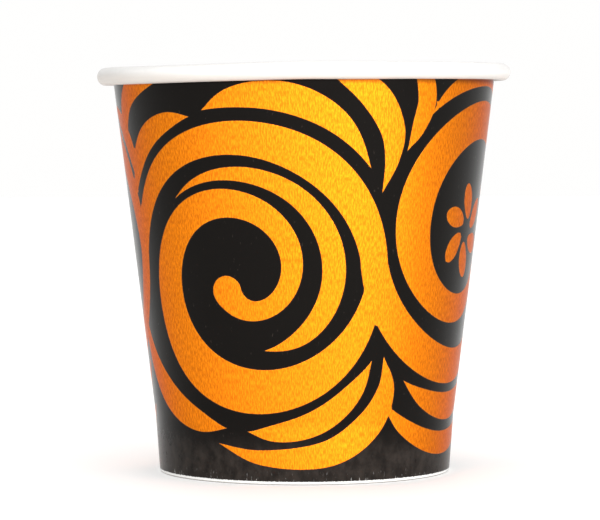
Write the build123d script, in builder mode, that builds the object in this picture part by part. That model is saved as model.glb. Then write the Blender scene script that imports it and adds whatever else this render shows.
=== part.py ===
"""Paper vending cup: a printed board wall with a rolled rim and a folded foot that holds a base disc."""

from build123d import *
from math import asin, atan2, cos, degrees, hypot, radians, sin, sqrt, tan
import os

# Whole cup, measured over the roll and over the foot
rim_diameter = 62.0
cup_height = 61.1
foot_diameter = 43.6

# Board that the wall and the base are cut from
wall_board = 0.28
base_board = 0.25

# Rolled rim: the wall turns outwards, down and back under itself, until its edge is this angle short of the wall
roll_radius = 1.3
roll_gap = 0.05
roll_edge_angle = 26.0

# Base disc: a shallow pan upside down, whose top face is the floor of the cup
floor_height = 7.6
disc_corner_radius = 0.6
skirt_clearance = 0.3

# Seal band: the wall around the disc's skirt, pressed to a gentler taper in degrees, up to just above the floor
band_taper = 4.2
band_rise = 1.15

# Foot: the wall's lower edge folds inwards and up behind the skirt, and its hem stops short of the floor
seal_gap = 0.02
hem_drop = 1.9

# Side seam at the back: the outer layer ends in a cut edge on one side and ramps down on the other
lap_width = 8.0
lap_ramp = 1.6
lap_rise = 0.3
lap_clearance = 0.1

# The inner layer ends in a step down the inside of the cup, where the outer layer ramps down to meet it
step_press = 0.08
step_reach = 0.6
step_clearance = 0.3
step_overcut = 0.02

os.makedirs("parts", exist_ok=True)

quarter_turn = 90.0
half_turn = 180.0

# The printed face is the outside of the wall, the inside of the roll and the outside of the fold
band_height = floor_height + band_rise
band_slope = tan(radians(band_taper))
bend = Vector(foot_diameter / 2 + band_height * band_slope, band_height)

# The wall rises from the bend until it touches the first round of the roll
roll_centre = Vector(rim_diameter / 2 - roll_radius, cup_height - roll_radius)
printed_radius = roll_radius - wall_board
bend_to_roll = roll_centre - bend
lean_to_centre = atan2(bend_to_roll.X, bend_to_roll.Y)
wall_taper = degrees(lean_to_centre - asin(printed_radius / hypot(bend_to_roll.X, bend_to_roll.Y)))

# The second half turn of the roll is tighter than the first by half a board and half a gap
turn_step = (wall_board + roll_gap) / 2
second_centre = roll_centre + Vector(turn_step, 0)
second_radius = printed_radius - turn_step
edge_start = half_turn + roll_edge_angle

# The fold is as wide as the wall, the skirt of the disc and the hem laid face to face
hem_height = floor_height - hem_drop
fold_width = 2 * wall_board + base_board + 2 * seal_gap
skirt_depth = wall_board + seal_gap
skirt_foot_height = wall_board + skirt_clearance


def wall_radius(height):
    """Radius of the printed face at a height on the wall or on the seal band."""
    if height < band_height:
        return bend.X + (height - band_height) * band_slope
    return bend.X + (height - band_height) * tan(radians(wall_taper))


def square_to(depth, taper):
    """Step towards the cup's axis, square to a face that leans outwards by a taper."""
    return Vector(-depth, 0).rotate(Axis.Z, -taper)


def band_point(height, depth):
    """Point at a height in the seal band, at a depth below the printed face."""
    return Vector(wall_radius(height) - depth / cos(radians(band_taper)), height)


def bend_point(depth):
    """Corner where the seal band meets the wall, at a depth below the printed face."""
    half_bend = (wall_taper - band_taper) / 2
    return bend + square_to(depth / cos(radians(half_bend)), band_taper + half_bend)


def roll_point(depth):
    """Point where the wall turns into the roll, at a depth below the printed face."""
    return roll_centre + square_to(printed_radius + depth, wall_taper)


def edge_point(depth):
    """Point on the cut edge inside the roll, at a depth below the printed face."""
    return second_centre + Vector(second_radius + depth, 0).rotate(Axis.Z, edge_start)


def seam_point(height, depth, along):
    """Point of a level section at a distance along the round from the middle of the seam."""
    angle = along / wall_radius(height)
    radius = wall_radius(height) - depth
    return Vector(radius * sin(angle), radius * cos(angle))


# Centres of the fold's two rounds, each one board inside the faces that it joins
outer_round = band_point(wall_board, wall_board)
hem_round = band_point(wall_board, fold_width - wall_board)

# The outer layer of the seam rises from the fold to the underside of the roll, and half of a board is in the wall
roll_reach = second_centre.X - wall_radius(roll_centre.Y) - wall_board
roll_underside = roll_centre.Y - sqrt((second_radius + wall_board) ** 2 - roll_reach**2)
lap_heights = (wall_board + lap_rise, band_height, roll_underside - lap_clearance)
lap_bury = wall_board / 2

# The step of the inner layer starts below the floor, pressed a little shallower than a board
step_heights = (floor_height - step_reach, band_height, roll_point(wall_board).Y - step_clearance)

# Outer layer of the side seam, from its ramp to its cut edge
with BuildPart() as outer_layer:
    for height in lap_heights:
        with BuildSketch(Plane.XY.offset(height)):
            with BuildLine():
                cut_edge = Line(
                    seam_point(height, lap_bury, lap_width / 2),
                    seam_point(height, -wall_board, lap_width / 2),
                )
                crest = ThreePointArc(
                    cut_edge @ 1,
                    seam_point(height, -wall_board, 0),
                    seam_point(height, -wall_board, -lap_width / 2),
                )
                ramp = Line(crest @ 1, seam_point(height, 0, -lap_width / 2 - lap_ramp))
                toe = Line(ramp @ 1, seam_point(height, lap_bury, -lap_width / 2 - lap_ramp))
                ThreePointArc(toe @ 1, seam_point(height, lap_bury, 0), cut_edge @ 0)
            make_face()
    loft(ruled=True)

# Side wall: one sheet, from its edge inside the roll down to the edge of its hem
with BuildPart() as side_wall:
    with BuildSketch(Plane.XZ):
        for depth in (0, wall_board):
            with BuildLine():
                CenterArc(second_centre, second_radius + depth, edge_start, 2 * half_turn - edge_start)
                CenterArc(roll_centre, printed_radius + depth, 0, half_turn - wall_taper)
                Line(roll_point(depth), bend_point(depth))
                Line(bend_point(depth), outer_round - square_to(wall_board - depth, band_taper))
                Line(
                    hem_round + square_to(wall_board - depth, band_taper),
                    band_point(hem_height, fold_width - depth),
                )
        with BuildLine():
            CenterArc(outer_round, wall_board, -band_taper, band_taper - quarter_turn)
            Line(outer_round - Vector(0, wall_board), hem_round - Vector(0, wall_board))
            CenterArc(hem_round, wall_board, -quarter_turn, -quarter_turn - band_taper)
            Line(outer_round, hem_round)
            Line(band_point(hem_height, fold_width), band_point(hem_height, fold_width - wall_board))
            Line(edge_point(0), edge_point(wall_board))
        make_face()
    revolve(axis=Axis.Z)
    add(outer_layer.part)

    # Step at the edge of the inner layer, down the inside of the wall
    for height in step_heights:
        with BuildSketch(Plane.XY.offset(height)):
            with BuildLine():
                Polyline(
                    seam_point(height, wall_board + step_overcut, -lap_width / 2),
                    seam_point(height, step_press, -lap_width / 2),
                    seam_point(height, wall_board + step_overcut, -lap_width / 2 - lap_ramp),
                    close=True,
                )
            make_face()
    loft(ruled=True, mode=Mode.SUBTRACT)
side_wall.part.label = "side_wall"

# Base disc: a flat floor whose skirt turns down between the wall and the hem
with BuildPart() as base_disc:
    with BuildSketch(Plane.XZ):
        for depth in (0, base_board):
            with BuildLine():
                FilletPolyline(
                    (0, floor_height - depth),
                    band_point(floor_height - depth, skirt_depth + depth),
                    band_point(skirt_foot_height, skirt_depth + depth),
                    radius=disc_corner_radius + base_board - depth,
                )
        with BuildLine():
            Line((0, floor_height), (0, floor_height - base_board))
            Line(band_point(skirt_foot_height, skirt_depth), band_point(skirt_foot_height, skirt_depth + base_board))
        make_face()
    revolve(axis=Axis.Z)
base_disc.part.label = "base_disc"

export_step(side_wall.part, "parts/side_wall.step")
export_step(base_disc.part, "parts/base_disc.step")
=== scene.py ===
"""Paper cup: the dressed board wall and base disc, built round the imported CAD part."""

import math

import bmesh
import bpy
import numpy as np
from bpy.props import FloatProperty, FloatVectorProperty, IntProperty, PointerProperty
from mathutils import Euler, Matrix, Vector


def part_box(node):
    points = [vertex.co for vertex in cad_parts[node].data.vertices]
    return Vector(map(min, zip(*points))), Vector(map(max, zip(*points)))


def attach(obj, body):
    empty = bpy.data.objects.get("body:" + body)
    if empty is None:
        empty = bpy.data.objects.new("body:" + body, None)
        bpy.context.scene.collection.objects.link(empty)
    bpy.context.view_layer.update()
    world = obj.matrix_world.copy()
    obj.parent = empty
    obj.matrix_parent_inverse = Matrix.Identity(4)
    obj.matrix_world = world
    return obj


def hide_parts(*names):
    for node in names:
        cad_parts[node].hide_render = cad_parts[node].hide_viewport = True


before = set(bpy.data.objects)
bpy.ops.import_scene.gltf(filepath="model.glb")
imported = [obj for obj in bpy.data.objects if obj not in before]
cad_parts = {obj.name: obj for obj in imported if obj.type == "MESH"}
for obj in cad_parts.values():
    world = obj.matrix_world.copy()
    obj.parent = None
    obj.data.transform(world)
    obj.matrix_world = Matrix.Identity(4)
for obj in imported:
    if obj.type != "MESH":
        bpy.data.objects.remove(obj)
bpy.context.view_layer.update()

bl_info = {
    "name": "Paper cup",
    "version": (1, 0, 0),
    "blender": (4, 5, 0),
    "location": "3D View > Sidebar > Paper cup",
    "description": "Builds a printed paper cup with a rolled rim, a lapped seam and a folded foot",
    "category": "Object",
}

MM = 0.001
WALL_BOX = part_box("side_wall")
RIM_RADIUS = WALL_BOX[1].x
CUP_HEIGHT = WALL_BOX[1].z


def length(name, description, default):
    """A size in metres that a user may change."""
    return FloatProperty(name=name, description=description, default=default, unit="LENGTH", precision=5)


def angle(name, description, degrees):
    """An angle that a user may change."""
    return FloatProperty(name=name, description=description, default=math.radians(degrees), subtype="ANGLE")


def number(name, description, default):
    """A share, factor or strength that a user may change."""
    return FloatProperty(name=name, description=description, default=default)


def count(name, description, default):
    """A whole number that a user may change."""
    return IntProperty(name=name, description=description, default=default)


def colour(name, description, default):
    """A colour that a user may change."""
    return FloatVectorProperty(name=name, description=description, default=default, subtype="COLOR", size=3,
                               min=0.0, max=1.0)


class WallSizes(bpy.types.PropertyGroup):
    """Sizes of the board wall, from its hem to the edge inside its roll"""

    rim_radius: length("Rim radius", "Over the roll", RIM_RADIUS)
    height: length("Height", "From the foot to the top of the roll", CUP_HEIGHT)
    foot_radius: length("Foot radius", "Of the wall's outside at the foot", 21.8 * MM)
    board: length("Board", "Thickness of the wall's board", 0.28 * MM)
    base_board: length("Base board", "Thickness of the base disc's board", 0.25 * MM)
    seal_gap: length("Seal gap", "Between boards that are sealed to each other", 0.02 * MM)
    roll_radius: length("Roll radius", "Of the round that the rolled rim makes", 1.3 * MM)
    roll_gap: length("Roll gap", "Between two turns of the roll", 0.05 * MM)
    roll_tuck: angle("Roll tuck", "How far the roll turns on inside itself", 120.0)
    band_height: length("Band height", "Height of the seal band round the base disc", 8.75 * MM)
    band_taper: angle("Band taper", "Lean of the wall in the seal band", 4.2)
    hem_height: length("Hem height", "Height of the folded hem's edge", 5.7 * MM)

    lap_angle: angle("Lap angle", "From the middle of the seam to its cut edge", 9.0)
    lap_ramp: angle("Lap ramp", "Over which the outer layer comes down to the wall", 3.6)
    edge_slant: angle("Edge slant", "How far the seam's cut edge leans round the cup", 0.25)
    lap_rise: length("Lap rise", "Over which the seam comes up out of the pressed foot", 1.2 * MM)
    lap_fall: length("Lap fall", "Over which the seam goes down again under the roll", 0.6 * MM)
    lap_top: number("Lap top", "Where the seam ends below the roll's middle, in roll radii", 0.8)
    step_depth: length("Step depth", "Of the inner layer's step inside the cup", 0.2 * MM)
    step_start: length("Step start", "Height where the inner layer's step starts, under the floor", 7.0 * MM)

    rim_wave: length("Rim wave", "Unevenness of the roll's underside", 0.05 * MM)
    rim_notch: length("Rim notch", "Depth of the step in the roll where the seam enters it", 0.16 * MM)
    notch_angle: angle("Notch angle", "Over which the roll comes back to its full size", 7.0)
    rim_bulge: length("Rim bulge", "How far the roll's underside hangs", 0.22 * MM)
    bulge_right: number("Bulge right", "Share of the bulge that the roll keeps at the right", 0.55)
    rim_sag: length("Rim sag", "How much lower the warped rim hangs at the left", 0.55 * MM)
    sag_full: number("Sag full", "Where the sag is deepest, in rim radii to the right", -0.85)
    sag_end: number("Sag end", "Where the sag ends, in rim radii to the right", 0.1)
    sag_height: length("Sag height", "From which the wall gives way under the sagging rim", 46.0 * MM)

    columns: count("Columns", "Steps round the cup", 320)
    ring_step: length("Ring step", "Distance between rings on the printed face", 0.5 * MM)
    inner_rings: count("Inner rings", "Printed rings for each ring inside the cup", 6)
    hem_rings: count("Hem rings", "Rings on the hem", 8)
    fold_rings: count("Fold rings", "Rings on each round of the fold", 5)
    roll_rings: count("Roll rings", "Rings on each half turn of the roll", 16)
    tuck_rings: count("Tuck rings", "Rings on the tucked end of the roll", 9)


class PrintSizes(bpy.types.PropertyGroup):
    """Sizes of the printed scrolls, and of the inks' edges, wear and grain"""

    turn: angle("Turn", "Of the artwork round the cup", -8.0)
    tip: length("Tip", "Width below which a stroke's tip is a sharp wedge", 0.8 * MM)
    register: length("Register", "How far the print is out of register at the seam", 0.35 * MM)
    ink_blur: length("Ink blur", "Half width of the gold ink's soft edge", 0.045 * MM)
    ink_ragged: length("Ragged ink", "How far the gold ink's edge wanders", 0.09 * MM)
    ink_fringe: length("Ink fringe", "Width of the duller black beside the gold", 0.16 * MM)
    bare_foot: length("Bare foot", "Height of the board left bare at the foot", 0.5 * MM)
    foot_blur: length("Foot blur", "Half width of the inks' soft lower edge", 0.06 * MM)
    foot_ragged: length("Ragged foot", "How far the inks' lower edge wanders", 0.36 * MM)
    # Painted contact shadow: the bare board's lowest line is darkened where the cup stands, fully up to the first
    # height and gone from the second
    painted_shadow_full: length("Painted foot shadow", "Height up to which the bare board is soiled", 0.1 * MM)
    painted_shadow_end: length("Painted shadow end", "Height from which the bare board is clean", 0.26 * MM)
    chips_top: length("Chips top", "Height over the bare foot where the inks' chips end", 1.6 * MM)
    chips_full: length("Chips full", "Height over the bare foot where the chips are whole", 0.2 * MM)
    rub_top: length("Rub top", "Height where the rubbed seal band ends", 8.15 * MM)
    rub_full: length("Rub full", "Height below which the seal band is fully rubbed", 3.1 * MM)
    # Painted shade: how far below the roll the inks are darkened towards black, as in the roll's shadow
    painted_shade_under_roll: length("Painted shade under roll", "How far below the roll the inks grow darker", 0.8 * MM)
    relief: length("Relief", "Depth of the inks' grain", 0.042 * MM)
    crease: length("Crease", "Depth of the pressed line over the hem's edge", 0.012 * MM)
    crease_low: length("Crease low", "How far the pressed line reaches below the hem's edge", 0.25 * MM)
    crease_high: length("Crease high", "How far the pressed line reaches above the hem's edge", 0.35 * MM)
    ink_gloss: number("Ink gloss", "Of the inks themselves, under the clear coat", 0.02)
    coat_roughness: number("Coat roughness", "Of the clear coat over the inks", 0.28)
    coat_ior: number("Coat IOR", "How strongly the clear coat mirrors at a slant", 1.09)


class CupColours(bpy.types.PropertyGroup):
    """Colours of the inks and of the board"""

    gold: colour("Gold", "Pearly gold ink", (0.86, 0.257, 0.0065))
    gold_shade: colour("Gold shade", "Gold ink where it lies thin", (0.62, 0.152, 0.0036))
    gold_glance: colour("Gold glance", "Tint of the inks seen at a slant", (0.38, 0.08, 0.02))
    black: colour("Black", "Black ink", (0.0052, 0.0048, 0.0043))
    scuffed: colour("Scuffed", "Black ink rubbed in the seal band", (0.034, 0.028, 0.024))
    chipped: colour("Chipped", "Board that shows in the inks' chips", (0.363, 0.3575, 0.34925))
    # Painted contact shadow: the colour of the lowest line of the bare foot
    shadow_painted: colour("Painted foot shadow", "Board where the cup has stood", (0.30, 0.285, 0.27))
    board: colour("Board", "White coated board", (0.66, 0.65, 0.635))
    board_shade: colour("Board shade", "White board where its fibres lie thin", (0.6138, 0.6045, 0.59055))
    # Painted shade, warmed like a painted reflection of the gold: the colour that the roll's underside is darkened to
    painted_roll_shade: colour("Painted roll shade", "Board that is rubbed and shaded under the roll", (0.50, 0.465, 0.43))
    edge: colour("Cut edge", "Bare fibres of a cut edge", (0.72, 0.7, 0.665))
    edge_shade: colour("Cut edge shade", "Between the fibres of a cut edge", (0.576, 0.56, 0.532))


class StageSizes(bpy.types.PropertyGroup):
    """Floor, lights and camera"""

    camera_distance: length("Camera distance", "From the cup's axis to the lens", 496.16 * MM)
    camera_height: length("Camera height", "Above the floor", 53.82 * MM)
    camera_pitch: angle("Camera pitch", "How far the camera looks down", 2.561)
    camera_yaw: angle("Camera yaw", "How far the camera looks to the left", 0.07334)
    camera_roll: angle("Camera roll", "Turn of the camera about its own line of sight", 0.12)
    focal_length: number("Focal length", "In millimetres, on a 36 mm sensor", 197.87)
    floor_size: length("Floor size", "Reach of the floor behind and beside the cup", 1.6)
    floor: colour("Floor", "Pale table", (0.93, 0.93, 0.925))
    floor_shade: colour("Floor shade", "Grain of the pale table", (0.90, 0.90, 0.895))
    floor_glow: number("Floor glow", "Light that the lit table gives off", 0.18)
    bank_distance: length("Bank distance", "From the cup's axis to the soft lights in front", 1.3)
    bank_width: length("Bank width", "Of each soft light", 1.0)
    bank_height: length("Bank height", "Of each soft light", 0.32)
    bank_spread: angle("Bank spread", "Between two neighbouring soft lights", 42.0)
    front_power: number("Front power", "Watts of the soft light in front", 10.3)
    left_power: number("Left power", "Watts of the soft light at the left", 5.4)
    right_power: number("Right power", "Watts of the soft light at the right", 14.5)
    room: colour("Room", "Pale surroundings", (1.0, 0.997, 0.99))
    side_light: number("Side light", "Strength of the pale room at floor level", 0.06)
    sky_light: number("Sky light", "Strength of the pale room overhead", 1.2)
    sky_low: number("Sky low", "Sine of the elevation where the room starts to brighten", 0.12)
    sky_high: number("Sky high", "Sine of the elevation where the room is brightest", 0.8)
    back_light: number("Back light", "Strength of the pale wall behind the cup", 1.0)
    back_edge: number("Back edge", "Cosine of the angle from straight behind where the wall ends", 0.72)
    back_middle: number("Back middle", "Cosine of the angle where the wall is brightest", 0.97)


# The camera's sensor in millimetres, and its nearest and farthest sight in metres
SENSOR_WIDTH = 36.0
NEAREST = 0.01
FARTHEST = 20.0


# The scrolls, drawn on the flat wall in millimetres from the middle of the front: a volute and a ring round a rose in
# each half turn. A stroke about one of their middles has points of (angle in degrees, radius, width), and a free one
# has (across, up, width).
VOLUTE = (-6.0, -3.0)
ROSE = (33.8, 0.5)
FREE = None
STROKES = [
    # The stem over the volute and under the rose
    (VOLUTE, [(178.6, 20.4, 3.0), (150, 20.2, 3.6), (90, 20, 5.0), (50, 20, 5.6), (5, 20, 4.2)]),
    (ROSE, [(185, 20, 4.2), (230, 20, 5.6), (270, 20.2, 5.0), (310, 20.4, 3.6), (336.8, 20.4, 3.0)]),
    # The volute and the long leaf that follows it inside
    (VOLUTE, [(18, 20.2, 0.3), (-15, 19.6, 3.2), (-60, 18.0, 5.8), (-110, 15.9, 6.8), (-170, 13.3, 5.6),
              (-240, 11.2, 4.4), (-300, 9.4, 3.6), (-360, 7.6, 3.0), (-420, 5.8, 2.8), (-465, 4.0, 3.8),
              (-490, 3.2, 4.6)]),
    (VOLUTE, [(136, 15.2, 0), (114, 15.0, 1.2), (85, 14.7, 2.2), (45, 14.4, 3.0), (0, 13.8, 3.4), (-40, 12.7, 2.6),
              (-72, 11.4, 0)]),
    # The ring round the rose
    (ROSE, [(322, 20.4, 0.3), (350, 19.8, 3.0), (395, 18.0, 5.2), (450, 15.9, 5.8), (520, 13.6, 6.6),
            (580, 12.2, 5.0), (640, 11.2, 3.8), (700, 10.3, 2.4), (755, 9.4, 0)]),
    # Leaves over the volute and over the ring
    (VOLUTE, [(103, 24.6, 0), (91, 26.0, 3.0), (74, 26.9, 4.4), (56, 26.6, 3.4), (38, 24.8, 0)]),
    (FREE, [(15.3, 8.6, 0), (17.0, 13.5, 2.4), (17.0, 18.0, 4.0), (13.8, 23.2, 4.2), (7.0, 27.6, 1.0)]),
    (FREE, [(19.6, 14.4, 0), (21.6, 17.6, 2.4), (23.2, 21.6, 3.4), (22.2, 26.6, 2.6), (20.5, 29, 0)]),
    (ROSE, [(118, 21.0, 0), (104, 22.2, 2.0), (85, 22.8, 3.0), (68, 22.8, 2.2), (54, 22.0, 0)]),
    (VOLUTE, [(157, 23.8, 0), (146, 25.0, 2.8), (133, 25.6, 3.8), (120, 25.2, 2.8), (109, 24.2, 0)]),
    (FREE, [(-29.6, 12.0, 0), (-31.0, 17.0, 2.8), (-28.8, 21.9, 3.8), (-22.0, 25.6, 3.0), (-13.0, 27.4, 0)]),
    (ROSE, [(6, 22.4, 0), (14, 23.1, 2.2), (24, 23.5, 3.2), (36, 23.2, 2.6), (48, 22.2, 0)]),
    # Leaves under the volute and under the ring
    (VOLUTE, [(196, 24.2, 0), (211, 24.6, 2.6), (231, 24.2, 4.4), (249, 23.5, 3.4), (263, 22.8, 0)]),
    (VOLUTE, [(-34, 23.2, 0), (-47, 23.8, 2.8), (-62, 24.0, 3.6), (-77, 23.5, 2.6), (-88, 22.9, 0)]),
    (FREE, [(15.3, -15.5, 0), (15.6, -20.4, 2.8), (12.8, -25.2, 4.2), (6.5, -29.0, 3.8), (-3.0, -29.6, 2.2),
            (-10, -28.0, 0)]),
    (ROSE, [(233, 25.0, 0), (247, 25.8, 3.0), (264, 26.2, 4.2), (281, 25.8, 3.2), (297, 24.6, 0)]),
    (ROSE, [(231, 29.4, 0), (241, 30.8, 2.4), (256, 31.6, 3.4), (273, 31.2, 2.8), (288, 30.0, 0)]),
]
PETALS = 6
PETAL = [(-10, 1.5, 0), (-3, 2.9, 2.0), (4, 4.5, 3.0), (8, 5.9, 2.2), (10, 7.0, 0)]
PETAL_START = 20.0

# The flat wall is part of a fan. The artwork's middle lies this far from the fan's point, and its copies cover the fan.
APEX = 210.0
HALF_TURNS = range(-3, 4)

# Distance between two places of a stroke, their least number between two of its points, and how far from a stroke and
# from the middle of its tip the ink is worked out
STROKE_STEP = 0.3
LEAST_PIECES = 3
INK_REACH = 3.0
TIP_REACH = 0.85

# Grain of the printed sheet: features for each millimetre round the cup and up it
STREAKS = (5.2, 1.3, 1.0)
FIBRES = (2.4, 1.6, 1.0)
CLOUD = (0.1, 0.07, 1.0)
FOOT_EDGE = (2.3, 1.6, 1.0)
RUBBING = (0.55, 0.42, 1.0)
SPECKS = (2.6, 0.9, 1.0)
CHIPS = (3.4, 0.8, 1.0)

# Grain of the board and of its cut edge, for each millimetre, and of the pressed ribs, for each radian round the cup
BOARD_FIBRES = (1.6, 1.6, 1.2)
BOARD_CLOUD = (0.12, 0.12, 0.12)
EDGE_FIBRES = (4.0, 4.0, 4.0)
RIBS = (34.0, 34.0, 34.0)
FLOOR_GRAIN = (30.0, 30.0, 30.0)

# Depth of that grain
BOARD_RELIEF = 0.012 * MM
EDGE_RELIEF = 0.03 * MM
RIB_RELIEF = 0.16 * MM

# The pressed ribs: how far inside the disc's rim they start and are whole, the same for the hem, and their upper end
DISC_RIBS_START = 2.6 * MM
DISC_RIBS_FULL = 0.9 * MM
HEM_RIBS_FULL = 0.1 * MM
RIB_FADE = 0.3 * MM

# Least and greatest roughness of each finish, and what rubbing adds to it
GOLD_ROUGH = (0.40, 0.56)
BLACK_ROUGH = (0.20, 0.28)
RUBBED_ROUGH = 0.2
INSIDE_ROUGH = (0.38, 0.50)
DISC_ROUGH = (0.42, 0.54)
EDGE_ROUGH = 0.85
FLOOR_ROUGH = 0.8

# The satin coating of the plain board
SATIN_WEIGHT = 0.15
SATIN_ROUGH = 0.35

# Painted shade on the underside of the roll, in roll radii above its middle
PAINTED_ROLL_SHADE_TOP = 0.2
PAINTED_ROLL_SHADE_FULL = -0.85
PAINTED_ROLL_SHADE_FADE = 0.1 * MM

# Waves round the roll: how many, where they start in radians, and how high they are
ROLL_WAVES = ((5, 0.7, 0.28), (11, 2.1, 0.22))
BULGE_WAVES = ((4, 1.0, 0.25),)

# Slots of the wall's materials, and small distances that keep a merge and a division safe
PRINTED, PLAIN, CUT_EDGE = range(3)
MERGE = 0.002 * MM
TINY = 1e-12

# Faces that meet under a flatter angle than this are shaded as one surface
SMOOTH_UP_TO = math.radians(40)

# Radius of the flat map over the wall's radius at the bend: about the middle of the wall's height
MAP_RADIUS = 1.12

# Share of the roll's radius over which the waves fade in outwards, and inside which the notch leaves the roll alone
WAVES_FROM = 0.6
NOTCH_FROM = 0.8


# Modelling by hand


def start_piece(name, first):
    """A new object whose mesh is one selected vertex, in edit mode."""
    if bpy.context.mode != "OBJECT":
        bpy.ops.object.mode_set(mode="OBJECT")
    bpy.ops.object.select_all(action="DESELECT")
    bpy.ops.mesh.primitive_plane_add(size=MM, location=(0, 0, 0))
    piece = bpy.context.object
    piece.name = piece.data.name = name
    bpy.ops.object.mode_set(mode="EDIT")
    bpy.ops.mesh.select_mode(type="VERT")
    bpy.ops.mesh.select_all(action="SELECT")
    bpy.ops.mesh.merge(type="CENTER")
    bpy.ops.transform.translate(value=first)
    return piece


def end_of(piece):
    """Where the newest vertex of a drawn section lies."""
    mesh = bmesh.from_edit_mesh(piece.data)
    mesh.verts.ensure_lookup_table()
    return [v for v in mesh.verts if v.select][-1].co.copy()


def run_to(piece, end, pieces=1):
    """Draws a straight run of a section from its selected end to a point, in equal pieces."""
    start = end_of(piece)
    step = (Vector(end) - start) / pieces
    for _ in range(pieces):
        bpy.ops.mesh.extrude_region_move(TRANSFORM_OT_translate={"value": step})


def round_about(centre, turn, steps):
    """Draws an arc of a section from its selected end about a centre, clockwise as seen from the front."""
    bpy.ops.mesh.spin(steps=steps, angle=-turn, center=centre, axis=(0, 1, 0))


def revolve(piece, columns):
    """Turns a drawn section once round the cup's axis and closes it."""
    bpy.ops.mesh.select_all(action="SELECT")
    bpy.ops.mesh.spin(steps=columns, angle=2 * math.pi, center=(0, 0, 0), axis=(0, 0, 1))
    bpy.ops.mesh.select_all(action="SELECT")
    bpy.ops.mesh.remove_doubles(threshold=MERGE)
    bpy.ops.mesh.normals_make_consistent(inside=False)
    bpy.ops.object.mode_set(mode="OBJECT")


def points_of(mesh):
    """Vertex positions as an array."""
    flat = np.zeros(len(mesh.vertices) * 3, np.float32)
    mesh.vertices.foreach_get("co", flat)
    return flat.reshape(-1, 3).astype(float)


def set_points(mesh, points):
    """Writes vertex positions back."""
    mesh.vertices.foreach_set("co", points.astype(np.float32).ravel())
    mesh.update()


# The section of the wall


def section(wall):
    """Points and centres of the wall's printed face in the XZ plane, as (x, z) pairs in metres."""
    lean = Vector((math.cos(wall.band_taper), -math.sin(wall.band_taper)))
    bend = Vector((wall.foot_radius + wall.band_height * math.tan(wall.band_taper), wall.band_height))

    def band_point(height, depth):
        return Vector((bend.x + (height - bend.y) * math.tan(wall.band_taper) - depth / math.cos(wall.band_taper),
                       height))

    fold = 2 * wall.board + wall.base_board + 2 * wall.seal_gap
    outer_round = band_point(wall.board, wall.board)
    hem_round = band_point(wall.board, fold - wall.board)
    roll = Vector((wall.rim_radius - wall.roll_radius, wall.height - wall.roll_radius))
    printed = wall.roll_radius - wall.board
    reach = roll - bend
    taper = math.atan2(reach.x, reach.y) - math.asin(printed / reach.length)
    turn_step = (wall.board + wall.roll_gap) / 2
    return {
        "lean": lean, "bend": bend, "outer_round": outer_round, "hem_round": hem_round, "fold": fold,
        "hem_top": band_point(wall.hem_height, fold), "roll": roll, "taper": taper,
        "roll_start": roll + printed * Vector((-math.cos(taper), math.sin(taper))),
        "second": roll + Vector((turn_step, 0)), "printed": printed,
    }


def draw_wall_section(wall):
    """Draws the printed face from the hem's edge to the edge inside the roll."""
    s = section(wall)
    quarter = math.pi / 2

    def at(point):
        return Vector((point.x, 0, point.y))

    piece = start_piece("side_wall_print", at(s["hem_top"]))
    run_to(piece, at(s["hem_round"] - wall.board * s["lean"]), wall.hem_rings)
    round_about(at(s["hem_round"]), -(quarter + wall.band_taper), wall.fold_rings)
    run_to(piece, at(s["outer_round"] - Vector((0, wall.board))))
    round_about(at(s["outer_round"]), -(quarter - wall.band_taper), wall.fold_rings)
    run_to(piece, at(s["bend"]), round(wall.band_height / wall.ring_step))
    run_to(piece, at(s["roll_start"]), round((s["roll_start"] - s["bend"]).length / wall.ring_step))
    round_about(at(s["roll"]), math.pi - s["taper"], wall.roll_rings)
    round_about(at(s["second"]), math.pi, wall.roll_rings)
    round_about(at(s["roll"]), wall.roll_tuck, wall.tuck_rings)
    return piece, s


# The print


def smooth_line(points, pieces):
    """A smooth line through points of three numbers, with a number of pieces between two points that a rule gives."""
    p = np.array(points, float)
    p = np.vstack([2 * p[0] - p[1], p, 2 * p[-1] - p[-2]])
    line = []
    for before, a, b, after in zip(p[:-3], p[1:-2], p[2:-1], p[3:]):
        for t in np.linspace(0, 1, max(LEAST_PIECES, int(pieces(a, b))), endpoint=False):
            line.append(0.5 * (2 * a + (b - before) * t + (2 * before - 5 * a + 4 * b - after) * t ** 2
                               + (3 * a - before - 3 * b + after) * t ** 3))
    line.append(p[-2])
    return np.array(line)


def stroke_line(centre, points):
    """Places and widths along one stroke, on the flat wall."""
    if centre is FREE:
        line = smooth_line(points, lambda a, b: math.hypot(*(b - a)[:2]) / STROKE_STEP)
        return np.column_stack([line[:, :2], np.maximum(line[:, 2], 0)])
    line = smooth_line(points, lambda a, b: math.radians(abs(b[0] - a[0])) * a[1] / STROKE_STEP)
    turn = np.radians(line[:, 0])
    return np.column_stack([centre[0] + line[:, 1] * np.cos(turn), centre[1] + line[:, 1] * np.sin(turn),
                            np.maximum(line[:, 2], 0)])


def scroll_lines():
    """The stems and leaves of one half turn of the cup."""
    return [stroke_line(centre, points) for centre, points in STROKES]


def petal_lines():
    """The petals of the rose, with blunt ends."""
    turns = [PETAL_START + 360.0 * petal / PETALS for petal in range(PETALS)]
    return [stroke_line(ROSE, [(a + turn, r, w) for a, r, w in PETAL]) for turn in turns]


def round_the_cup(line, sin_taper):
    """A stroke as it repeats round the cup, every half turn, on the flat wall."""
    for copy in HALF_TURNS:
        c, s = math.cos(copy * math.pi * sin_taper), math.sin(copy * math.pi * sin_taper)
        x, y = line[:, 0], line[:, 1] + APEX
        yield np.column_stack([x * c + y * s, y * c - x * s - APEX, line[:, 2]])


def tapered_ends(line, tip):
    """The thin ends of a stroke, each from where it is twice the tip's width and run on past its point."""
    for way in (line, line[::-1]):
        if way[-1, 2] >= tip:
            continue
        wide = np.flatnonzero(way[:, 2] >= 2 * tip)
        path = way[wide[-1]:] if len(wide) else way
        run = path[-1, :2] - path[-2, :2]
        yield np.vstack([path, [*(path[-1, :2] + run / np.hypot(*run)), -tip]])


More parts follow.
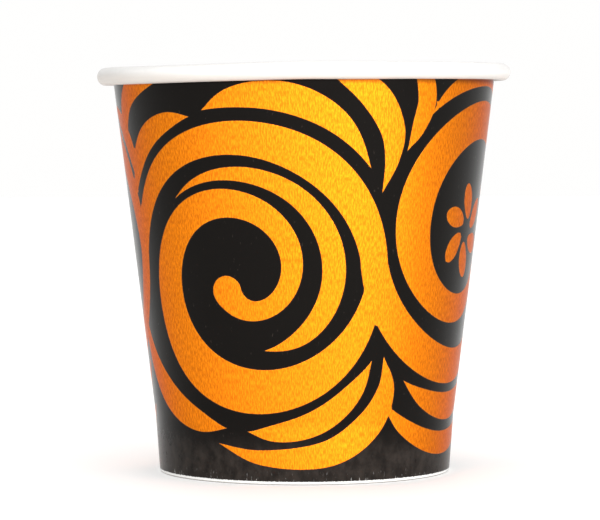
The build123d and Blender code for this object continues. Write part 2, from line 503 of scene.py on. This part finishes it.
def tip_wedges(places, sin_taper, tip):
    """The strokes' tips as straight-sided wedges, which stay sharp between the wall's vertices: the half width of the
    nearest one at each place, and how far to the side of its middle the place lies."""
    half, aside = np.full(len(places), -INK_REACH), np.zeros(len(places))
    ends = [end for line in scroll_lines() for end in tapered_ends(line, tip)]
    for path in (copy for end in ends for copy in round_the_cup(end, sin_taper)):
        low, high = path[:, :2].min(0) - TIP_REACH, path[:, :2].max(0) + TIP_REACH
        near = np.flatnonzero(((places > low) & (places < high)).all(1))
        here = places[near]
        for index, (a, b) in enumerate(zip(path[:-1], path[1:])):
            run = (b - a)[:2]
            step = here - a[:2]
            t = (step @ run) / max(run @ run, TINY)
            ahead = t >= 0 if index == 0 else np.full(len(t), True)
            t = np.clip(t, 0, 1)
            gap = np.hypot(*(step - t[:, None] * run).T)
            width = (a[2] + (b[2] - a[2]) * t) / 2
            better = ahead & (gap < TIP_REACH) & (width - gap > half[near] - np.abs(aside[near]))
            side = np.sign(run[0] * step[:, 1] - run[1] * step[:, 0])
            half[near[better]], aside[near[better]] = width[better], (gap * side)[better]
    return half, aside


def ink_depth(places, sin_taper, tip):
    """How far each place on the flat wall lies inside the gold ink, in millimetres: below zero is outside it."""
    depth = np.full(len(places), -INK_REACH)
    whole = [line[line[:, 2] >= tip] for line in scroll_lines() + petal_lines()]
    for path in (copy for line in whole for copy in round_the_cup(line, sin_taper)):
        low, high = path[:, :2].min(0) - 2 * INK_REACH, path[:, :2].max(0) + 2 * INK_REACH
        near = np.flatnonzero(((places > low) & (places < high)).all(1))
        if not len(near):
            continue
        best, here = depth[near], places[near]
        for a, b in zip(path[:-1], path[1:]):
            run = (b - a)[:2]
            t = np.clip(((here - a[:2]) @ run) / max(run @ run, TINY), 0, 1)
            gap = np.hypot(*(here - a[:2] - t[:, None] * run).T)
            best = np.maximum(best, (a[2] + (b[2] - a[2]) * t) / 2 - gap)
        depth[near] = best
    return depth


def print_scrolls(piece, s, wall, prints, outside):
    """Lays the flat artwork on the wall as attributes: the depth inside the gold ink, and the wedges at its tips."""
    p = points_of(piece.data) / MM
    radius = np.hypot(p[:, 0], p[:, 1])
    board, bend, taper = wall.board / MM, s["bend"] / MM, s["taper"]

    # One side of the seam is the sheet's end at the left, and the print there is a little out of register
    around = np.arctan2(p[:, 0], -p[:, 1])
    beyond_edge = (around > 0) & (seam_turn(p) <= wall.lap_angle + wall.edge_slant / 2)
    around = np.where(beyond_edge, around - 2 * math.pi, around)
    slope = np.where(p[:, 2] > bend.y, math.cos(taper), math.cos(wall.band_taper))
    along = bend.x / math.sin(taper) + (p[:, 2] - bend.y) / slope
    along = along + prints.register / MM * around / (2 * math.pi)
    fan = (around - prints.turn) * math.sin(taper)
    flat = np.column_stack([along * np.sin(fan), along * np.cos(fan) - APEX])

    # The print runs from the fold's outer round into the roll, and not over the hem behind the fold
    lowest, highest = 0.8 * board, s["roll_start"].y / MM + 2 * board
    hem_side = radius < s["outer_round"].x / MM + (p[:, 2] - board) * math.tan(wall.band_taper)
    on_hem = (p[:, 2] < bend.y) & hem_side
    on_wall = np.flatnonzero(outside & (p[:, 2] > lowest) & (p[:, 2] < highest) & ~on_hem
                             & (radius < s["roll"].x / MM))
    depth, half, aside = np.full(len(p), -INK_REACH), np.full(len(p), -INK_REACH), np.zeros(len(p))
    depth[on_wall] = ink_depth(flat[on_wall], math.sin(taper), prints.tip / MM)
    half[on_wall], aside[on_wall] = tip_wedges(flat[on_wall], math.sin(taper), prints.tip / MM)
    for name, values in (("gold_depth", depth), ("tip_half", half), ("tip_aside", aside)):
        layer = piece.data.attributes.new(name, "FLOAT", "POINT")
        layer.data.foreach_set("value", values.astype(np.float32))


# Materials


class Nodes:
    """Short hands for the nodes of a material or of the room."""

    def __init__(self, owner):
        owner.use_nodes = True
        self.owner = owner
        self.tree = owner.node_tree
        self.tree.nodes.clear()

    def add(self, kind, inputs=None, **settings):
        node = self.tree.nodes.new(kind)
        for key, value in settings.items():
            setattr(node, key, value)
        for key, value in (inputs or {}).items():
            if isinstance(value, bpy.types.NodeSocket):
                self.tree.links.new(value, node.inputs[key])
            else:
                node.inputs[key].default_value = value
        return node

    def math(self, operation, a, b=0.0, clamp=False):
        return self.add("ShaderNodeMath", {0: a, 1: b}, operation=operation, use_clamp=clamp).outputs[0]

    def ramp(self, value, low, high, to_low=0.0, to_high=1.0, kind="SMOOTHSTEP"):
        inputs = {"Value": value, "From Min": low, "From Max": high, "To Min": to_low, "To Max": to_high}
        return self.add("ShaderNodeMapRange", inputs, interpolation_type=kind).outputs["Result"]

    def sway(self, noise, width):
        """A noise turned into a length that goes up to half a width either way."""
        return self.math("MULTIPLY", self.math("SUBTRACT", noise, 0.5), width)

    def blend(self, factor, a, b):
        """A number between two others."""
        return self.add("ShaderNodeMix", {0: factor, 2: a, 3: b}, data_type="FLOAT").outputs[0]

    def mix(self, factor, a, b):
        """A colour between two others."""
        a, b = (value if isinstance(value, bpy.types.NodeSocket) else (*value, 1.0) for value in (a, b))
        return self.add("ShaderNodeMix", {0: factor, 6: a, 7: b}, data_type="RGBA").outputs[2]

    def noise(self, place, grain, detail=3.0, rough=0.55):
        mapping = self.add("ShaderNodeMapping", {"Vector": place, "Scale": grain})
        inputs = {"Vector": mapping.outputs[0], "Scale": 1.0, "Detail": detail, "Roughness": rough}
        return self.add("ShaderNodeTexNoise", inputs).outputs["Fac"]

    def bump(self, height, distance, normal=None):
        inputs = {"Height": height, "Distance": distance}
        if normal is not None:
            inputs["Normal"] = normal
        return self.add("ShaderNodeBump", inputs).outputs["Normal"]

    def finish(self, **inputs):
        """Ends a material in a shader, whose inputs are named with _ for a space."""
        shader = self.add("ShaderNodeBsdfPrincipled", {k.replace("_", " "): v for k, v in inputs.items()})
        self.add("ShaderNodeOutputMaterial", {"Surface": shader.outputs[0]})
        return self.owner


def per_mm(grain):
    """Grain for each millimetre, on coordinates in metres."""
    return tuple(features / MM for features in grain)


def ink_material(colours, wall, prints):
    """Printed board: pearly gold scrolls on black ink, rubbed in the seal band, ragged at the foot."""
    n = Nodes(bpy.data.materials.new("printed_board_ink"))
    sheet = n.add("ShaderNodeUVMap", uv_map="sheet").outputs[0]
    height = n.add("ShaderNodeSeparateXYZ", {"Vector": sheet}).outputs["Y"]
    streaks = n.noise(sheet, STREAKS, rough=0.6)
    fibres = n.noise(sheet, FIBRES, detail=4.0, rough=0.6)
    cloud = n.noise(sheet, CLOUD, detail=2.0)

    # Where the gold is, from the wall's attributes, with fibres at its edge
    depth, half, aside = (n.add("ShaderNodeAttribute", attribute_name=name).outputs["Fac"]
                          for name in ("gold_depth", "tip_half", "tip_aside"))
    depth = n.math("MAXIMUM", depth, n.math("SUBTRACT", half, n.math("ABSOLUTE", aside)))
    depth = n.math("ADD", depth, n.sway(fibres, prints.ink_ragged / MM))
    gold_part = n.ramp(depth, -prints.ink_blur / MM, prints.ink_blur / MM)
    fringe = n.ramp(depth, -prints.ink_fringe / MM, 0.0, to_high=0.35)

    # Black, scuffed where the seal band is rubbed, and gold, thin in streaks
    rubbing = n.ramp(n.noise(sheet, RUBBING, detail=5.0, rough=0.6), 0.30, 0.75, 0.15, 0.75)
    band = n.ramp(height, prints.rub_top / MM, prints.rub_full / MM)
    rubbed = n.math("MULTIPLY", band, rubbing, clamp=True)
    specks = n.ramp(n.noise(sheet, SPECKS, detail=2.0), 0.66, 0.80, to_high=0.8)
    black = colours.black
    for wear in (specks, rubbed, fringe):
        black = n.mix(wear, black, colours.scuffed)
    gold = n.mix(n.ramp(streaks, 0.36, 0.64), colours.gold, colours.gold_shade)
    ink = n.mix(gold_part, black, gold)
    # Painted shade under the roll: the inks darken towards black just below it
    roll_foot = (wall.height - 2 * wall.roll_radius) / MM
    ink = n.mix(n.ramp(height, roll_foot - prints.painted_shade_under_roll / MM, roll_foot, to_high=0.6), ink, colours.black)

    # The bare foot under a ragged edge, with chips above it
    bare, blur = prints.bare_foot / MM, prints.foot_blur / MM
    foot_edge = n.sway(n.noise(sheet, FOOT_EDGE, detail=6.0, rough=0.7), prints.foot_ragged / MM)
    cover = n.ramp(n.math("ADD", height, foot_edge), bare - blur, bare + blur)
    chips = n.math("MULTIPLY", n.ramp(n.noise(sheet, CHIPS, detail=4.0), 0.62, 0.72),
                   n.ramp(height, bare + prints.chips_top / MM, bare + prints.chips_full / MM))
    ink = n.mix(chips, ink, colours.chipped)
    # Painted contact shadow: the bare board darkens at its very bottom, where the cup meets the floor
    unshadowed = n.ramp(n.math("ADD", height, n.math("MULTIPLY", foot_edge, 0.3)), prints.painted_shadow_full / MM,
                   prints.painted_shadow_end / MM)
    base = n.mix(cover, n.mix(unshadowed, colours.shadow_painted, colours.board), ink)

    # Gloss and relief
    gold_rough = n.ramp(streaks, 0.25, 0.75, *GOLD_ROUGH, "LINEAR")
    black_rough = n.ramp(fibres, 0.3, 0.7, *BLACK_ROUGH, "LINEAR")
    black_rough = n.math("ADD", black_rough, n.math("MULTIPLY", rubbed, RUBBED_ROUGH))
    relief = n.math("MULTIPLY", streaks, n.blend(gold_part, 0.15, 1.0))
    normal = n.bump(n.math("ADD", relief, n.math("MULTIPLY", cloud, 1.5)), prints.relief)
    hem = wall.hem_height / MM
    crease = n.ramp(height, hem - prints.crease_low / MM, hem + prints.crease_high / MM, 0.0, -1.0)
    normal = n.bump(crease, prints.crease, normal=normal)
    return n.finish(Base_Color=base, Metallic=n.math("MULTIPLY", gold_part, cover),
                    Roughness=n.blend(gold_part, black_rough, gold_rough), Normal=normal,
                    Specular_IOR_Level=prints.ink_gloss, Specular_Tint=(*colours.gold_glance, 1.0), Coat_Weight=1.0,
                    Coat_Roughness=prints.coat_roughness, Coat_IOR=prints.coat_ior)


def board_material(name, colours, roughness, shade=None, ribs=None):
    """White coated board: faint fibres under a thin satin coating. The board may be darkened by painted shade on the
    underside of a roll, from a radius outwards between two heights, and pressed into fine ribs between two radii, up to
    a height."""
    n = Nodes(bpy.data.materials.new(name))
    place = n.add("ShaderNodeTexCoord").outputs["Object"]
    height = n.add("ShaderNodeSeparateXYZ", {"Vector": place}).outputs["Z"]
    level = n.add("ShaderNodeMapping", {"Vector": place, "Scale": (1, 1, 0)}).outputs[0]
    reach = n.add("ShaderNodeVectorMath", {0: level}, operation="LENGTH").outputs["Value"]
    fibres = n.noise(place, per_mm(BOARD_FIBRES), detail=5.0, rough=0.6)
    cloud = n.noise(place, per_mm(BOARD_CLOUD), detail=2.0)
    base = n.mix(n.ramp(n.blend(0.5, fibres, cloud), 0.35, 0.65), colours.board_shade, colours.board)
    # Painted shade: the board's colour darkens towards the underside of the roll, outwards from the roll's start
    if shade:
        inner, top, low = shade
        under = n.math("MULTIPLY", n.ramp(height, top, low), n.ramp(reach, inner, inner + PAINTED_ROLL_SHADE_FADE))
        base = n.mix(under, base, colours.painted_roll_shade)
    rough = n.ramp(fibres, 0.3, 0.7, *roughness, "LINEAR")
    normal = n.bump(n.math("ADD", fibres, n.math("MULTIPLY", cloud, 2.0)), BOARD_RELIEF)
    if ribs:
        start, full, top = ribs
        way_round = n.add("ShaderNodeVectorMath", {0: level}, operation="NORMALIZE").outputs[0]
        pressed = n.math("MULTIPLY", n.ramp(reach, start, full), n.ramp(height, top, top - RIB_FADE))
        rib = n.math("MULTIPLY", n.noise(way_round, RIBS, detail=1.0), pressed)
        normal = n.bump(rib, RIB_RELIEF, normal=normal)
    return n.finish(Base_Color=base, Roughness=rough, Normal=normal, Coat_Weight=SATIN_WEIGHT,
                    Coat_Roughness=SATIN_ROUGH)


def edge_material(colours):
    """Cut edge of the board: bare grey-white fibres."""
    n = Nodes(bpy.data.materials.new("cut_edge"))
    place = n.add("ShaderNodeTexCoord").outputs["Object"]
    fibres = n.noise(place, per_mm(EDGE_FIBRES), detail=5.0, rough=0.7)
    base = n.mix(n.ramp(fibres, 0.3, 0.7), colours.edge_shade, colours.edge)
    return n.finish(Base_Color=base, Roughness=EDGE_ROUGH, Normal=n.bump(fibres, EDGE_RELIEF))


def floor_material(stage):
    """Pale table with a faint grain, which gives off a little light."""
    n = Nodes(bpy.data.materials.new("pale_floor"))
    grain = n.noise(n.add("ShaderNodeTexCoord").outputs["Object"], FLOOR_GRAIN)
    base = n.mix(n.ramp(grain, 0.3, 0.7), stage.floor_shade, stage.floor)
    return n.finish(Base_Color=base, Roughness=FLOOR_ROUGH, Emission_Color=(1.0, 1.0, 1.0, 1.0),
                    Emission_Strength=stage.floor_glow)


# Shaping the wall


def smooth(share):
    """A share from 0 to 1 that starts and ends gently."""
    return share * share * (3 - 2 * share)


def waves(around, kinds):
    """Unevenness round the cup: the sum of some waves."""
    return sum(rise * np.sin(times * around + start) for times, start, rise in kinds)


def flat_map(piece, s):
    """A map of the sheet laid flat, in millimetres: round the cup at the wall's middle, and up from the foot."""
    mesh = piece.data
    p = points_of(mesh) / MM
    around = np.arctan2(p[:, 0], -p[:, 1])
    corner = np.zeros(len(mesh.loops), np.int32)
    mesh.loops.foreach_get("vertex_index", corner)
    owner = np.repeat(np.arange(len(mesh.polygons)), [f.loop_total for f in mesh.polygons])
    middle = np.zeros(len(mesh.polygons) * 3, np.float32)
    mesh.polygons.foreach_get("center", middle)
    middle = middle.reshape(-1, 3)
    face_turn = np.arctan2(middle[:, 0], -middle[:, 1])[owner]
    turn = face_turn + (around[corner] - face_turn + np.pi) % (2 * np.pi) - np.pi
    flat = np.column_stack([turn * s["bend"].x / MM * MAP_RADIUS, p[corner, 2]])
    mesh.uv_layers.new(name="sheet").data.foreach_set("uv", flat.astype(np.float32).ravel())


def seam_turn(points):
    """Angle from the middle of the seam at the back, growing towards +X."""
    return np.arctan2(points[:, 0], points[:, 1])


def shape_seam(piece, s, wall, outside):
    """Raises the outer layer of the seam on the outside, and presses the inner layer's step into the inside."""
    mesh = piece.data
    p = points_of(mesh)
    radius, turn = np.hypot(p[:, 0], p[:, 1]), seam_turn(p)
    cut, ramp, slant = wall.lap_angle, wall.lap_ramp, wall.edge_slant

    # The columns beside each cut edge move onto its two sides
    column_step = 2 * math.pi / wall.columns
    column = np.round(turn / column_step).astype(int)
    last = round(cut / column_step)
    for side in (1, -1):
        turn = np.where(column == side * last, side * cut, turn)
        turn = np.where(column == side * (last + 1), side * (cut + slant), turn)
    down = 1 + (turn + cut) / ramp

    low, high = 2 * wall.board, s["roll"].y - wall.lap_top * wall.roll_radius
    on_wall = outside & (p[:, 2] > low) & (p[:, 2] < high) & (radius > s["outer_round"].x)
    rise = np.clip((p[:, 2] - low) / wall.lap_rise, 0, 1) * np.clip((high - p[:, 2]) / wall.lap_fall, 0, 1)
    lift = np.where((turn <= cut + slant / 2) & (turn >= -cut), 1.0, 0.0)
    lift = np.where((turn < -cut) & (turn > -cut - ramp), down, lift)
    inside = ~outside & (p[:, 2] > wall.step_start) & (p[:, 2] < s["roll"].y) & (radius < s["roll_start"].x)
    sunk = np.where((turn <= -cut - slant / 2) & (turn > -cut - ramp), down, 0.0)
    radius = radius + np.where(on_wall, wall.board * lift * smooth(rise), 0.0)
    radius = radius + np.where(inside, wall.step_depth * sunk, 0.0)
    p[:, 0], p[:, 1] = radius * np.sin(turn), radius * np.cos(turn)
    set_points(mesh, p)

    for face in mesh.polygons:
        x, y, z = face.center
        back = math.atan2(x, y)
        outer_edge = face.material_index == PRINTED and cut < back < cut + slant and low < z < high
        inner_edge = face.material_index == PLAIN and -cut - slant < back < -cut and wall.step_start < z < high
        if outer_edge or inner_edge:
            face.material_index = CUT_EDGE


def bare_hem(piece, s, wall):
    """Leaves the hem inside the foot unprinted, as the sheet's back is."""
    top = wall.hem_height + wall.board
    for face in piece.data.polygons:
        x, y, z = face.center
        if face.material_index == PRINTED and z < top and math.hypot(x, y) < s["outer_round"].x:
            face.material_index = PLAIN


def thin_out_inside(piece, s, wall, outside):
    """Dissolves most rings of the plain inner face, and returns which vertices are left on the printed face."""
    mesh = piece.data
    mark = mesh.attributes.new("printed_side", "INT", "POINT")
    mark.data.foreach_set("value", outside.astype(np.int32))
    bpy.ops.object.mode_set(mode="EDIT")
    bpy.ops.mesh.select_mode(type="EDGE")
    bpy.ops.mesh.select_all(action="DESELECT")
    edit = bmesh.from_edit_mesh(mesh)
    side = edit.verts.layers.int["printed_side"]
    rise = (s["roll_start"] - s["bend"]).length
    step = rise / round(rise / wall.ring_step)
    low, high = s["bend"].y + 0.5 * wall.ring_step, s["roll_start"].y - 1.5 * wall.ring_step
    for edge in edit.edges:
        a, b = edge.verts
        plain = not a[side] and not b[side] and low < a.co.z < high and a.co.xy.length < s["roll_start"].x
        if plain and abs(a.co.z - b.co.z) < 0.1 * step:
            ring = round((a.co.z - s["bend"].y) / math.cos(s["taper"]) / step)
            edge.select = ring % wall.inner_rings != 0
    bmesh.update_edit_mesh(mesh)
    bpy.ops.mesh.dissolve_edges(use_verts=True)
    bpy.ops.object.mode_set(mode="OBJECT")
    left = np.zeros(len(mesh.vertices), np.int32)
    mesh.attributes["printed_side"].data.foreach_get("value", left)
    mesh.attributes.remove(mesh.attributes["printed_side"])
    return left.astype(bool)


def shape_roll(piece, s, wall):
    """Makes the roll uneven, steps it where the seam runs into it, and lets the warped rim sag at the left."""
    p = points_of(piece.data)
    centre = s["roll"]
    radius = np.hypot(p[:, 0], p[:, 1])
    out, up = radius - centre.x, p[:, 2] - centre.y
    reach = np.hypot(out, up)
    on_roll = reach < 1.02 * wall.roll_radius
    around, turn = np.arctan2(p[:, 0], -p[:, 1]), seam_turn(p)

    below = np.clip(-up / wall.roll_radius, 0, 1)
    outwards = np.clip(out / wall.roll_radius + WAVES_FROM, 0, 1)
    shrink = wall.rim_wave * (0.5 + waves(around, ROLL_WAVES)) * below * outwards
    notch = np.where(turn < -wall.lap_angle, np.clip(1 + (turn + wall.lap_angle) / wall.notch_angle, 0, 1), 0.0)
    shrink = shrink + np.where(reach > NOTCH_FROM * wall.roll_radius, wall.rim_notch * smooth(notch), 0.0)
    factor = np.where(on_roll, 1 - shrink / np.maximum(reach, TINY), 1.0)

    left = smooth(np.clip((wall.sag_end - p[:, 0] / wall.rim_radius) / (wall.sag_end - wall.sag_full), 0, 1))
    bulge = wall.bulge_right + (1 - wall.bulge_right) * left + waves(around, BULGE_WAVES)
    drop = np.where(on_roll, wall.rim_bulge * below * bulge, 0.0)
    p[:, :2] *= ((centre.x + out * factor) / radius)[:, None]
    p[:, 2] = centre.y + up * factor - drop
    give = np.clip((p[:, 2] - wall.sag_height) / (centre.y - wall.sag_height), 0, 1)
    p[:, 2] -= wall.rim_sag * left * smooth(give)
    set_points(piece.data, p)


class CUP_OT_side_wall(bpy.types.Operator):
    """Draws the wall's section, turns it round the axis, prints it and gives it the board's thickness"""

    bl_idname = "cup.side_wall"
    bl_label = "Build the side wall"

    def execute(self, context):
        wall, prints, colours = context.scene.wall_sizes, context.scene.print_sizes, context.scene.cup_colours
        piece, s = draw_wall_section(wall)
        revolve(piece, wall.columns)
        mesh = piece.data
        middle = min(mesh.polygons, key=lambda face: abs(face.center.z - 0.5 * wall.height))
        if middle.normal.xy.dot(middle.center.xy) < 0:
            mesh.flip_normals()

        # Where the painted shade on the roll's underside lies: outwards from the roll's start, between two heights
        roll = (s["roll_start"].x, s["roll"].y + PAINTED_ROLL_SHADE_TOP * wall.roll_radius,
                s["roll"].y + PAINTED_ROLL_SHADE_FULL * wall.roll_radius)
        hem = (s["outer_round"].x, s["outer_round"].x - HEM_RIBS_FULL, wall.hem_height + RIB_FADE)
        mesh.materials.append(ink_material(colours, wall, prints))
        mesh.materials.append(board_material("white_board_inside", colours, INSIDE_ROUGH, roll, hem))
        mesh.materials.append(edge_material(colours))

        printed = len(mesh.vertices)
        thick = piece.modifiers.new("Board", "SOLIDIFY")
        thick.thickness, thick.offset, thick.use_even_offset = wall.board, -1.0, True
        thick.material_offset, thick.material_offset_rim = PLAIN, CUT_EDGE
        bpy.ops.object.modifier_apply(modifier=thick.name)
        outside = thin_out_inside(piece, s, wall, np.arange(len(mesh.vertices)) < printed)
        shape_seam(piece, s, wall, outside)
        print_scrolls(piece, s, wall, prints, outside)
        bare_hem(piece, s, wall)
        shape_roll(piece, s, wall)
        flat_map(piece, s)
        bpy.ops.object.shade_smooth_by_angle(angle=SMOOTH_UP_TO)
        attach(piece, "root")
        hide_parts("side_wall")
        return {"FINISHED"}


class CUP_OT_base_disc(bpy.types.Operator):
    """Gives the base disc its coated white board"""

    bl_idname = "cup.base_disc"
    bl_label = "Dress the base disc"

    def execute(self, context):
        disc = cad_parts["base_disc"]
        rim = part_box("base_disc")[1]
        ribs = (rim.x - DISC_RIBS_START, rim.x - DISC_RIBS_FULL, rim.z + MM)
        disc.data.materials.clear()
        material = board_material("white_board_disc", context.scene.cup_colours, DISC_ROUGH, ribs=ribs)
        disc.data.materials.append(material)
        return {"FINISHED"}


def soft_light(name, place, target, size, power):
    """A soft oblong light that faces a point."""
    data = bpy.data.lights.new(name, "AREA")
    data.shape, data.size, data.size_y, data.energy = "RECTANGLE", size[0], size[1], power
    light = bpy.data.objects.new(name, data)
    bpy.context.scene.collection.objects.link(light)
    light.location = place
    light.rotation_euler = (Vector(target) - Vector(place)).to_track_quat("-Z", "Y").to_euler()


def pale_room(stage):
    """Pale surroundings: dim at floor level, bright overhead and behind the cup, and white where the camera looks."""
    n = Nodes(bpy.data.worlds.new("pale_room"))
    way = n.add("ShaderNodeSeparateXYZ", {"Vector": n.add("ShaderNodeTexCoord").outputs["Generated"]}).outputs
    sky = n.ramp(way["Z"], stage.sky_low, stage.sky_high, stage.side_light, stage.sky_light)
    wall = n.ramp(way["Y"], stage.back_edge, stage.back_middle, 0.0, stage.back_light)
    strength = n.blend(n.add("ShaderNodeLightPath").outputs["Is Camera Ray"], n.math("ADD", sky, wall), 1.0)
    room = n.add("ShaderNodeBackground", {"Color": (*stage.room, 1.0), "Strength": strength})
    n.add("ShaderNodeOutputWorld", {"Surface": room.outputs[0]})
    return n.owner


class CUP_OT_stage(bpy.types.Operator):
    """Lays a plain pale floor, hangs soft lights and sets the camera"""

    bl_idname = "cup.stage"
    bl_label = "Set the stage"

    def execute(self, context):
        stage = context.scene.stage_sizes
        bpy.ops.object.select_all(action="DESELECT")
        bpy.ops.mesh.primitive_plane_add(size=2 * stage.floor_size, location=(0, 0, 0))
        floor = context.object
        floor.name = "floor"
        floor.data.materials.append(floor_material(stage))

        context.scene.world = pale_room(stage)
        banks = (("front_bank", 0, stage.front_power), ("left_bank", -1, stage.left_power),
                 ("right_bank", 1, stage.right_power))
        for name, side, power in banks:
            turn = side * stage.bank_spread
            place = Vector((math.sin(turn), -math.cos(turn), 0)) * stage.bank_distance
            place.z = stage.bank_height / 2
            soft_light(name, place, (0, 0, place.z), (stage.bank_width, stage.bank_height), power)

        lens = bpy.data.cameras.new("camera")
        lens.sensor_width, lens.lens = SENSOR_WIDTH, stage.focal_length
        lens.clip_start, lens.clip_end = NEAREST, FARTHEST
        camera = bpy.data.objects.new("camera", lens)
        context.scene.collection.objects.link(camera)
        camera.location = (0, -stage.camera_distance, stage.camera_height)
        look = Euler((math.pi / 2 - stage.camera_pitch, 0, stage.camera_yaw)).to_matrix()
        roll = Euler((0, 0, -stage.camera_roll)).to_matrix()
        camera.rotation_euler = (look @ roll).to_euler()
        context.scene.camera = camera
        context.scene.view_settings.view_transform = "Standard"
        return {"FINISHED"}


class CUP_PT_panel(bpy.types.Panel):
    """Builds the cup, piece by piece"""

    bl_idname = "CUP_PT_panel"
    bl_label = "Paper cup"
    bl_space_type = "VIEW_3D"
    bl_region_type = "UI"
    bl_category = "Paper cup"

    def draw(self, context):
        for operator in OPERATORS:
            self.layout.operator(operator.bl_idname)
        for group in GROUPS:
            box = self.layout.box()
            for name in GROUPS[group].__annotations__:
                box.prop(getattr(context.scene, group), name)


OPERATORS = (CUP_OT_side_wall, CUP_OT_base_disc, CUP_OT_stage)
GROUPS = {"wall_sizes": WallSizes, "print_sizes": PrintSizes, "cup_colours": CupColours, "stage_sizes": StageSizes}


def register():
    """Registers the sizes, the operators and the panel."""
    for group in (*GROUPS.values(), *OPERATORS, CUP_PT_panel):
        bpy.utils.register_class(group)
    for name, group in GROUPS.items():
        setattr(bpy.types.Scene, name, PointerProperty(type=group))


def unregister():
    """Takes them all out again."""
    for name in GROUPS:
        delattr(bpy.types.Scene, name)
    for group in reversed((*GROUPS.values(), *OPERATORS, CUP_PT_panel)):
        bpy.utils.unregister_class(group)


def main():
    """Builds every piece in order."""
    register()
    bpy.ops.cup.side_wall()
    bpy.ops.cup.base_disc()
    bpy.ops.cup.stage()


if __name__ == "__main__":
    main()
